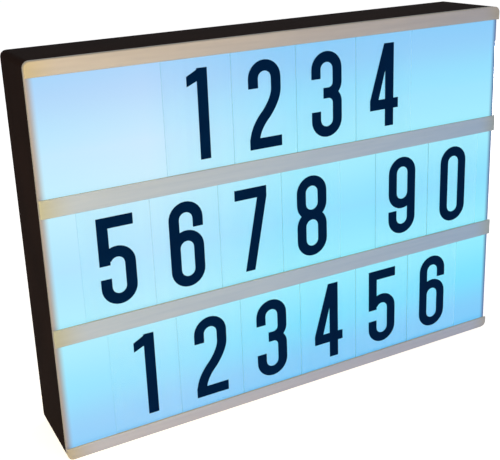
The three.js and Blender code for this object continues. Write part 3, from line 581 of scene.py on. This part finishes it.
def plain_gloss(name, colour, roughness):
    """Soft PVC or printed ink: even in colour but for faint clouding, with a slight sheen."""
    material, tree = blank_material(name)
    return shade(material, roughness=roughness, grain_size=1 * MM, grain_depth=0.01 * MM, inputs={
        "Base Color": cloudy(tree, colour, 9 * MM, dark=0.85, pale=1.1),
        "IOR": 1.54,
    })


# Edges and placing


def soften(node, width):
    """Rounds the hard edges of a solid for the eye, and leaves its mesh as it is."""
    weld = node.modifiers.new("weld", "WELD")
    weld.merge_threshold = 0.002 * MM
    flat = node.modifiers.new("flat_faces", "DECIMATE")
    flat.decimate_type = "DISSOLVE"
    flat.angle_limit = math.radians(0.5)
    bevel = node.modifiers.new("soft_edges", "BEVEL")
    bevel.width = width
    bevel.segments = 2
    bevel.limit_method = "ANGLE"
    bevel.angle_limit = math.radians(40)
    shading = node.modifiers.new("even_shading", "WEIGHTED_NORMAL")
    shading.keep_sharp = False


def wear(names, material, width=0):
    """Gives CAD nodes a finish and, where a width is given, softer edges."""
    for name in names:
        node = nodes[name]
        node.data.materials.clear()
        node.data.materials.append(material)
        if width:
            soften(node, width)


def cell_name(i):
    return f"battery_cell_{i + 1}"


def points_up(i):
    return i % 2 == 0


def tile_names(row):
    return [f"tile_{row}_{i + 1}" for i in range(len(SIGNS[row]))]


def extent(name):
    """Where a node's box starts and ends, and its middle."""
    low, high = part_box(name)
    return low, high, (low + high) / 2


# Signs


def arc(centre, radius, start, stop, steps=14):
    angles = [math.radians(start + (stop - start) * i / steps) for i in range(steps + 1)]
    return [(centre[0] + radius * math.cos(a), centre[1] + radius * math.sin(a)) for a in angles]


def curve_through(start, pull, stop, steps=10):
    """A curve from one point to another that leans towards a third."""
    points = []
    for i in range(steps + 1):
        t = i / steps
        spot = (1 - t) ** 2 * Vector(start) + 2 * t * (1 - t) * Vector(pull) + t ** 2 * Vector(stop)
        points.append(tuple(spot))
    return points


def ribbon(line, width):
    """The outline of a stroke of even width along a line of points."""
    least_step = 0.001 * MM
    least_cosine = 0.3
    points = [Vector(line[0])]
    for place in line[1:]:
        if (Vector(place) - points[-1]).length > least_step:
            points.append(Vector(place))
    left, right = [], []
    for i, point in enumerate(points):
        before = (point - points[i - 1]).normalized() if i else (points[1] - point).normalized()
        after = (points[i + 1] - point).normalized() if i + 1 < len(points) else before
        heading = (before + after).normalized()
        reach = width / 2 / max(heading.dot(after), least_cosine)
        side = Vector((-heading.y, heading.x)) * reach
        left.append(point + side)
        right.append(point - side)
    return right + left[::-1]


class SignShape:
    """Strokes of a plain condensed digit, in a box that its strokes' middle lines fill. Bare numbers
    in it are shares of the box's width or height or of a stroke's width, or angles of an arc."""

    def __init__(self, width, height, stroke):
        self.stroke = stroke
        self.half = stroke / 2
        self.w = width - stroke
        self.h = height - stroke
        self.r = self.w / 2
        self.middle = self.h * 0.52
        self.shoulder = self.h * 0.62 - self.r
        self.tip = self.h * 0.12
        self.lap = stroke / 4

    def drawn(self, *lines):
        return [ribbon(line, self.stroke) for line in lines]

    def loop(self, low, high):
        """A closed ring with round ends, as two strokes that lap over each other."""
        mid = (low + high) / 2
        foot, head = mid - self.lap, mid + self.lap
        top = [(self.w, foot), *arc((self.r, high - self.r), self.r, 0, 180), (0, foot)]
        bottom = [(0, head), *arc((self.r, low + self.r), self.r, 180, 360), (self.w, head)]
        return self.drawn(top, bottom)

    def zero(self):
        return self.loop(0, self.h)

    def one(self):
        x = self.w * 0.6
        top = self.h + self.half
        stem = [(x, -self.half), (x, top)]
        inner = x - self.half * 0.5
        outer = x - self.half - self.w * 0.42
        drop = self.h * 0.09
        fold = top - drop
        flag = [(outer, fold - self.stroke * 0.9), (inner, top - self.stroke), (inner, top), (outer, fold)]
        return [*self.drawn(stem), flag]

    def two(self):
        crown = [
            (0, self.h - self.r - self.tip),
            *arc((self.r, self.h - self.r), self.r, 180, 0),
            *curve_through((self.w, self.h * 0.7), (self.w, self.h * 0.56), (self.w * 0.56, self.h * 0.38)),
            *curve_through((self.w * 0.56, self.h * 0.38), (0, self.h * 0.2), (0, 0)),
        ]
        base = [(-self.half, 0), (self.w + self.half, 0)]
        return self.drawn(crown, base)

    def three(self):
        turn = self.w * 0.42
        waist = [(self.w - turn, self.middle), (self.w * 0.34, self.middle)]
        upper = [
            (0, self.h - self.r - self.tip),
            *arc((self.r, self.h - self.r), self.r, 180, 0),
            *arc((self.w - turn, self.middle + turn), turn, 0, -90),
            *waist,
        ]
        lower = [
            (0, self.r + self.tip),
            *arc((self.r, self.r), self.r, 180, 360),
            *arc((self.w - turn, self.middle - turn), turn, 0, 90),
            *waist,
        ]
        return self.drawn(upper, lower)

    def four(self):
        x = self.w * 0.76
        level = self.h * 0.24
        top = self.h + self.half
        stem = [(x, -self.half), (x, top)]
        cross = [(-self.half, level), (self.w + self.half, level)]
        foot = level + self.half
        head = (x - self.half * 1.3, x + self.half * 0.4)
        slope = [(-self.half, foot), (self.half, foot), (head[1], top), (head[0], top)]
        return [*self.drawn(stem, cross), slope]

    def roof(self):
        return [(-self.half, self.h), (self.w + self.half, self.h)]

    def five(self):
        stem = [(0, self.h + self.half), (0, self.shoulder)]
        bowl = [
            *arc((self.r, self.shoulder), self.r, 150, 0),
            *arc((self.r, self.r), self.r, 0, -180),
            (0, self.r + self.tip),
        ]
        return self.drawn(self.roof(), stem, bowl)

    def six(self):
        shoulder = self.shoulder
        spine = [
            (self.w, self.h - self.r - self.tip),
            *arc((self.r, self.h - self.r), self.r, 0, 180),
            (0, shoulder - self.lap),
        ]
        belly = [(0, shoulder), *arc((self.r, self.r), self.r, 180, 360), (self.w, shoulder)]
        crown = [(self.w, shoulder - self.lap), *arc((self.r, shoulder), self.r, 0, 175)]
        return self.drawn(spine, belly, crown)

    def seven(self):
        top = self.h - self.half
        right = self.w + self.half
        foot = self.w * 0.16
        base = -self.half
        leg = [(foot, base), (foot + self.stroke, base), (right, top), (right - self.stroke, top)]
        return [*self.drawn(self.roof()), leg]

    def eight(self):
        return self.loop(0, self.middle) + self.loop(self.middle, self.h)

    def nine(self):
        return [[(self.w - x, self.h - y) for x, y in outline] for outline in self.six()]

    def outlines(self, digit):
        names = ("zero", "one", "two", "three", "four", "five", "six", "seven", "eight", "nine")
        return getattr(self, names[int(digit)])()


def united(outlines):
    """The area that outlines cover together, as points and triangles."""
    triangles_inside = 1
    same_point = 1e-7
    points = [Vector(p) for outline in outlines for p in outline]
    faces = []
    for outline in outlines:
        start = sum(len(face) for face in faces)
        faces.append(list(range(start, start + len(outline))))
    cut = delaunay_2d_cdt(points, [], faces, triangles_inside, same_point)
    flat, _, triangles, _, _, sources = cut
    return flat, [t for t, source in zip(triangles, sources) if source]


def flat_form(outlines, depth):
    """A closed flat form, centred on x and z, that starts at y = 0."""
    flat, triangles = united(outlines)
    xs = [p.x for p in flat]
    zs = [p.y for p in flat]
    middle = Vector(((min(xs) + max(xs)) / 2, (min(zs) + max(zs)) / 2))
    mesh = bmesh.new()
    corners = [mesh.verts.new((p.x - middle.x, 0, p.y - middle.y)) for p in flat]
    for triangle in triangles:
        mesh.faces.new([corners[i] for i in triangle])
    bmesh.ops.delete(mesh, geom=[v for v in mesh.verts if not v.link_faces], context="VERTS")
    bmesh.ops.dissolve_limit(
        mesh, angle_limit=math.radians(1), verts=list(mesh.verts), edges=list(mesh.edges),
    )
    grown = bmesh.ops.extrude_face_region(mesh, geom=list(mesh.faces))
    moved = [g for g in grown["geom"] if isinstance(g, bmesh.types.BMVert)]
    bmesh.ops.translate(mesh, verts=moved, vec=(0, depth, 0))
    bmesh.ops.recalc_face_normals(mesh, faces=list(mesh.faces))
    return mesh


def flat_piece(name, outlines, place, depth):
    """A flat form at a place, as a piece."""
    mesh = flat_form(outlines, depth)
    bmesh.ops.translate(mesh, verts=list(mesh.verts), vec=place)
    return finished_piece(name, mesh)


def wrapped_piece(name, outlines, centre, radius, depth):
    """A flat form bent round the back of an upright cylinder."""
    mesh = flat_form(outlines, depth)
    half = max(abs(v.co.x) for v in mesh.verts)
    cuts = 10
    for i in range(1, cuts):
        everything = [*mesh.verts, *mesh.edges, *mesh.faces]
        place = (half * (2 * i / cuts - 1), 0, 0)
        bmesh.ops.bisect_plane(mesh, geom=everything, plane_co=place, plane_no=(1, 0, 0))
    for v in mesh.verts:
        turn = v.co.x / radius
        reach = radius + v.co.y
        v.co = centre + Vector((reach * math.sin(turn), reach * math.cos(turn), v.co.z))
    bmesh.ops.recalc_face_normals(mesh, faces=list(mesh.faces))
    return finished_piece(name, mesh)


def bar(centre, length, width, upright=False):
    """The outline of a straight stroke."""
    x, z = centre
    if upright:
        return ribbon([(x, z - length / 2), (x, z + length / 2)], width)
    return ribbon([(x - length / 2, z), (x + length / 2, z)], width)


def ring(centre, radius, width):
    """The outlines of a thin ring, as two halves that lap over each other."""
    halves = (arc(centre, radius, -10, 190), arc(centre, radius, 170, 370))
    return [ribbon(half, width) for half in halves]


def plus(centre, size, width):
    return [bar(centre, size, width), bar(centre, size, width, upright=True)]


def centre_positive(line):
    """The plain sign for a socket whose pin is positive: minus, cup, dot and plus in a row."""
    ball = 3 * line
    cup = 3.6 * line
    dot = 1.5 * line
    far = 11 * line
    sign = [*ring((-far, 0), ball, line), *ring((far, 0), ball, line)]
    sign += [bar((-far, 0), ball, line), *plus((far, 0), ball, line)]
    sign += [ribbon(arc((0, 0), cup, 50, 310), line), arc((0, 0), dot, 0, 345)]
    for start, stop in ((ball - far, -cup), (0, far - ball)):
        sign.append(bar(((start + stop) / 2, 0), stop - start, line))
    return sign


def finished_piece(name, mesh):
    data = bpy.data.meshes.new(name)
    mesh.to_mesh(data)
    mesh.free()
    piece = bpy.data.objects.new(name, data)
    bpy.context.scene.collection.objects.link(piece)
    return piece


def put_on(piece, material, body):
    """Finishes a new piece and fixes it to the body that carries it."""
    piece.data.materials.append(material)
    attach(piece, body)


# Operators


class LIGHTBOX_OT_finish_case(bpy.types.Operator):
    """Gives the case, the battery door and the switch knob their black moulded finish"""

    bl_idname = "lightbox.finish_case"
    bl_label = "Finish the case"

    def execute(self, context):
        finish = context.scene.light_box_finish
        case = moulded_abs("black_moulded_abs", finish.case, gloss=0.002)
        wear(["rear_case"], case, finish.edge_soft)
        door = moulded_abs("black_moulded_abs_door", tone(finish.case, 1.1), gloss=0.03)
        wear(["battery_door", "switch_knob"], door, finish.fine_edge)
        return {"FINISHED"}


class LIGHTBOX_OT_finish_rails(bpy.types.Operator):
    """Gives the four rails their ivory finish"""

    bl_idname = "lightbox.finish_rails"
    bl_label = "Finish the rails"

    def execute(self, context):
        finish = context.scene.light_box_finish
        rails = ["rail_bottom", "rail_lower_middle", "rail_upper_middle", "rail_top"]
        ivory = ivory_styrene(finish.rails, finish.middle_rails_lamp_tint, context.scene.light_box_glow)
        wear(rails, ivory, finish.fine_edge)
        return {"FINISHED"}


class LIGHTBOX_OT_light_panel(bpy.types.Operator):
    """Lights the opal front from behind"""

    bl_idname = "lightbox.light_panel"
    bl_label = "Light the front"

    def execute(self, context):
        finish = context.scene.light_box_finish
        opal = opal_acrylic(context.scene.light_box_glow, finish.opal, finish.rim)
        wear(["diffuser_panel"], opal, finish.fine_edge)
        return {"FINISHED"}


class LIGHTBOX_OT_finish_tiles(bpy.types.Operator):
    """Makes the tiles clear film"""

    bl_idname = "lightbox.finish_tiles"
    bl_label = "Finish the tiles"

    def execute(self, context):
        names = [name for row in ROWS for name in tile_names(row)]
        edge = context.scene.light_box_glow.film_edge
        wear(names, clear_film(context.scene.light_box_finish.film, edge))
        return {"FINISHED"}


class LIGHTBOX_OT_print_signs(bpy.types.Operator):
    """Prints a digit on the front of each tile"""

    bl_idname = "lightbox.print_signs"
    bl_label = "Print the signs"

    def execute(self, context):
        signs = context.scene.light_box_signs
        shape = SignShape(signs.width, signs.height, signs.stroke)
        ink = screen_ink(context.scene.light_box_finish.ink)
        for row in ROWS:
            for tile, digit in zip(tile_names(row), SIGNS[row]):
                low, _, middle = extent(tile)
                place = (middle.x, low.y - signs.ink_gap - signs.ink_depth, middle.z)
                name = tile.replace("tile", "sign")
                sign = flat_piece(name, shape.outlines(digit), place, signs.ink_depth)
                put_on(sign, ink, tile)
        return {"FINISHED"}


class LIGHTBOX_OT_mould_marks(bpy.types.Operator):
    """Moulds the on and off marks and the socket's sign into the recess of the controls"""

    bl_idname = "lightbox.mould_marks"
    bl_label = "Mould the marks"

    def execute(self, context):
        marks = context.scene.light_box_marks
        # Painted highlight: the raised marks are the case's black plastic, drawn paler and glossier so that
        # they stand out.
        pale = tone(context.scene.light_box_finish.case, 2.5)
        material = moulded_abs("black_moulded_abs_marks", pale, gloss=0.1)
        _, knob_high, knob = extent("switch_knob")
        _, socket_high, socket = extent("power_socket")
        floor_y = socket_high.y
        switch_z = knob_high.z + marks.switch_gap
        off_x = knob.x - marks.switch_travel
        on_mark = [bar((0, 0), marks.switch_height, marks.line, upright=True)]
        off_mark = ring((0, 0), (marks.switch_height - marks.line) / 2, marks.line)
        places = (
            ("mark_switch_on", on_mark, knob.x, switch_z),
            ("mark_switch_off", off_mark, off_x, switch_z),
            ("mark_socket", centre_positive(marks.line), socket.x, socket_high.z + marks.socket_gap),
        )
        for name, outlines, x, z in places:
            mark = flat_piece(name, outlines, (x, floor_y, z), marks.rise)
            put_on(mark, material, "root")
        return {"FINISHED"}


class LIGHTBOX_OT_finish_lighting(bpy.types.Operator):
    """Finishes the reflector sheet and the two lamp bars on it"""

    bl_idname = "lightbox.finish_lighting"
    bl_label = "Finish the lighting"

    def execute(self, context):
        finish = context.scene.light_box_finish
        wear(["reflector_sheet"], reflector_sheet(finish.reflector))
        wear(["lamp_bar_lower", "lamp_bar_upper"], lamp_strip(finish.lamp_strip, finish.phosphor))
        return {"FINISHED"}


class LIGHTBOX_OT_finish_controls(bpy.types.Operator):
    """Finishes the circuit board, its screws, the switch housing and the power socket"""

    bl_idname = "lightbox.finish_controls"
    bl_label = "Finish the controls"

    def execute(self, context):
        finish = context.scene.light_box_finish
        wear(["control_board"], circuit_board(finish.board, finish.chip))
        zinc = plated_steel("zinc_plated_steel", finish.contacts, roughness=(0.3, 0.45))
        wear(["board_screw_1", "board_screw_2", "switch_housing"], zinc)
        wear(["power_socket"], socket_nylon(finish.nylon, finish.contacts), finish.fine_edge)
        return {"FINISHED"}


class LIGHTBOX_OT_finish_battery(bpy.types.Operator):
    """Finishes the cells and their contacts"""

    bl_idname = "lightbox.finish_battery"
    bl_label = "Finish the battery"

    def execute(self, context):
        finish = context.scene.light_box_finish
        contacts = [name for name in nodes if name.startswith("contact_")]
        nickel = plated_steel("nickel_plated_steel", finish.contacts, roughness=(0.22, 0.36))
        wear(contacts, nickel)
        colours = (finish.sleeve, finish.band, finish.contacts)
        for i in range(CELL_COUNT):
            low, high, _ = extent(cell_name(i))
            foot_z, nub_z = (low.z, high.z) if points_up(i) else (high.z, low.z)
            wear([cell_name(i)], cell_sleeve(f"cell_sleeve_{i + 1}", *colours, foot_z, nub_z))
        return {"FINISHED"}


class LIGHTBOX_OT_print_cells(bpy.types.Operator):
    """Prints a plus and a minus on each cell"""

    bl_idname = "lightbox.print_cells"
    bl_label = "Print the cells"

    def execute(self, context):
        marks = context.scene.light_box_marks
        signs = context.scene.light_box_signs
        colour = context.scene.light_box_finish.cell_print
        ink = plain_gloss("pale_sleeve_ink", colour, roughness=(0.3, 0.45))
        centre = (0, 0)
        shapes = {
            "plus": plus(centre, marks.cell_size, marks.cell_line),
            "minus": [bar(centre, marks.cell_size, marks.cell_line)],
        }
        for i in range(CELL_COUNT):
            low, high, middle = extent(cell_name(i))
            radius = (high.x - low.x) / 2 + signs.ink_gap
            heights = (high.z - marks.cell_inset, low.z + marks.cell_inset)
            for (kind, outlines), z in zip(shapes.items(), heights if points_up(i) else heights[::-1]):
                spot = Vector((middle.x, middle.y, z))
                piece = wrapped_piece(f"{cell_name(i)}_{kind}", outlines, spot, radius, signs.ink_depth)
                put_on(piece, ink, "root")
        return {"FINISHED"}


class LIGHTBOX_OT_finish_wires(bpy.types.Operator):
    """Gives the wires their coloured PVC"""

    bl_idname = "lightbox.finish_wires"
    bl_label = "Finish the wires"

    def execute(self, context):
        finish = context.scene.light_box_finish
        sheen = (0.35, 0.5)
        red = plain_gloss("red_pvc", finish.red_wire, sheen)
        wear(["battery_wire_red", "lamp_wire_upper", "lamp_wire_lower"], red)
        wear(["battery_wire_black"], plain_gloss("black_pvc", finish.black_wire, sheen))
        return {"FINISHED"}


class LIGHTBOX_OT_finish_screws(bpy.types.Operator):
    """Blackens the six screws of the case"""

    bl_idname = "lightbox.finish_screws"
    bl_label = "Finish the screws"

    def execute(self, context):
        screws = [name for name in nodes if name.startswith("case_screw_")]
        colour = context.scene.light_box_finish.screws
        wear(screws, plated_steel("black_oxide_steel", colour, roughness=(0.35, 0.5)))
        return {"FINISHED"}


class LIGHTBOX_OT_build_stage(bpy.types.Operator):
    """Sets up the floor, the white surroundings, the lamps and the camera"""

    bl_idname = "lightbox.build_stage"
    bl_label = "Build the studio"

    def execute(self, context):
        stage = context.scene.light_box_stage
        build_floor(stage)
        build_sky(context.scene, stage)
        build_lamps(stage)
        build_camera(context.scene)
        context.scene.view_settings.view_transform = "Standard"
        return {"FINISHED"}


def seen_directly(tree):
    """One for a ray from the camera, from a gloss or through glass, and nought for any other."""
    path = add_node(tree, "ShaderNodeLightPath")
    kinds = ("Is Camera Ray", "Is Glossy Ray", "Is Transmission Ray")
    return folded(tree, "MAXIMUM", [path.outputs[kind] for kind in kinds])


def build_floor(stage):
    """A wide pale floor that looks white in full light and keeps the light box's shadow."""
    reach = 3.0
    gap = 0.2 * MM
    mesh = bmesh.new()
    bmesh.ops.create_grid(mesh, x_segments=8, y_segments=8, size=reach)
    bmesh.ops.translate(mesh, verts=list(mesh.verts), vec=(0, 0, cad_box[0].z - gap))
    floor = finished_piece("studio_floor", mesh)
    material, tree = blank_material("painted_floor")
    lift = folded(tree, "MULTIPLY", [seen_directly(tree), stage.floor_lift])
    shader = add_node(tree, "ShaderNodeBsdfPrincipled", {
        "Base Color": opaque(stage.floor),
        "Roughness": 0.9,
        "Specular IOR Level": 0.1,
        "Emission Color": opaque((1, 1, 1)),
        "Emission Strength": lift,
    })
    add_node(tree, "ShaderNodeOutputMaterial", {"Surface": shader.outputs["BSDF"]})
    floor.data.materials.append(material)


def build_sky(scene, stage):
    """White surroundings for the eye and for gloss, and a soft even light for everything else."""
    world = bpy.data.worlds.new("studio")
    scene.world = world
    world.use_nodes = True
    tree = world.node_tree
    tree.nodes.clear()
    strength = add_node(
        tree, "ShaderNodeMapRange", {"Value": seen_directly(tree), "To Min": stage.sky, "To Max": 1}
    )
    light = add_node(
        tree, "ShaderNodeBackground",
        {"Color": opaque((1, 1, 1)), "Strength": strength.outputs["Result"]},
    )
    add_node(tree, "ShaderNodeOutputWorld", {"Surface": light.outputs["Background"]})


def build_lamps(stage):
    """A warm key lamp near the left end, a cool fill lamp at the right, and a lamp for the back."""
    aim = Vector((0, cad_box[0].y, cad_box[1].z / 2))
    for name, (place, width, colour) in LAMPS.items():
        data = bpy.data.lights.new(f"{name}_lamp", "AREA")
        data.shape = "DISK"
        data.size = width
        data.energy = getattr(stage, name)
        data.color = linear(colour)
        lamp = bpy.data.objects.new(f"{name}_lamp", data)
        lamp.location = place
        lamp.rotation_euler = (aim - Vector(place)).to_track_quat("-Z", "Y").to_euler()
        bpy.context.scene.collection.objects.link(lamp)


def build_camera(scene):
    """A camera at the left and above, leaning a little, with the light box filling the picture."""
    yaw, pitch, roll = CAMERA_YAW, CAMERA_PITCH, CAMERA_ROLL
    ahead = Vector((math.sin(yaw) * math.cos(pitch), math.cos(yaw) * math.cos(pitch), -math.sin(pitch)))
    level = Vector((math.cos(yaw), -math.sin(yaw), 0))
    upright = level.cross(ahead)
    right = math.cos(roll) * level + math.sin(roll) * upright
    up = math.cos(roll) * upright - math.sin(roll) * level
    data = bpy.data.cameras.new("camera")
    data.sensor_width = SENSOR_WIDTH
    data.lens = FOCAL_LENGTH
    data.shift_x = SHIFT_X
    data.shift_y = SHIFT_Y
    data.clip_start = NEAREST_SEEN
    camera = bpy.data.objects.new("camera", data)
    turn = Matrix((right, up, -ahead)).transposed().to_4x4()
    camera.matrix_world = Matrix.Translation(CAMERA_PLACE) @ turn
    scene.collection.objects.link(camera)
    scene.camera = camera


class LIGHTBOX_PT_sidebar(bpy.types.Panel):
    """Lists the steps that dress the light box"""

    bl_idname = "LIGHTBOX_PT_sidebar"
    bl_label = "Light box"
    bl_space_type = "VIEW_3D"
    bl_region_type = "UI"
    bl_category = "Light box"

    def draw(self, context):
        for kind in GROUPS:
            group = getattr(context.scene, kind)
            box = self.layout.box()
            for name in group.__annotations__:
                box.prop(group, name)
        for operator in OPERATORS:
            self.layout.operator(operator.bl_idname)


OPERATORS = (
    LIGHTBOX_OT_build_stage,
    LIGHTBOX_OT_finish_case,
    LIGHTBOX_OT_finish_rails,
    LIGHTBOX_OT_light_panel,
    LIGHTBOX_OT_finish_tiles,
    LIGHTBOX_OT_print_signs,
    LIGHTBOX_OT_mould_marks,
    LIGHTBOX_OT_finish_lighting,
    LIGHTBOX_OT_finish_controls,
    LIGHTBOX_OT_finish_battery,
    LIGHTBOX_OT_print_cells,
    LIGHTBOX_OT_finish_wires,
    LIGHTBOX_OT_finish_screws,
)
GROUPS = {
    "light_box_signs": SignSettings,
    "light_box_marks": MarkSettings,
    "light_box_finish": FinishSettings,
    "light_box_glow": GlowSettings,
    "light_box_stage": StageSettings,
}


def register():
    for kind in (*GROUPS.values(), *OPERATORS, LIGHTBOX_PT_sidebar):
        bpy.utils.register_class(kind)
    for name, kind in GROUPS.items():
        setattr(bpy.types.Scene, name, bpy.props.PointerProperty(type=kind))


def unregister():
    for name in GROUPS:
        delattr(bpy.types.Scene, name)
    for kind in (*GROUPS.values(), *OPERATORS, LIGHTBOX_PT_sidebar):
        bpy.utils.unregister_class(kind)


def main():
    register()
    for operator in OPERATORS:
        group, name = operator.bl_idname.split(".")
        getattr(getattr(bpy.ops, group), name)()


if __name__ == "__main__":
    main()
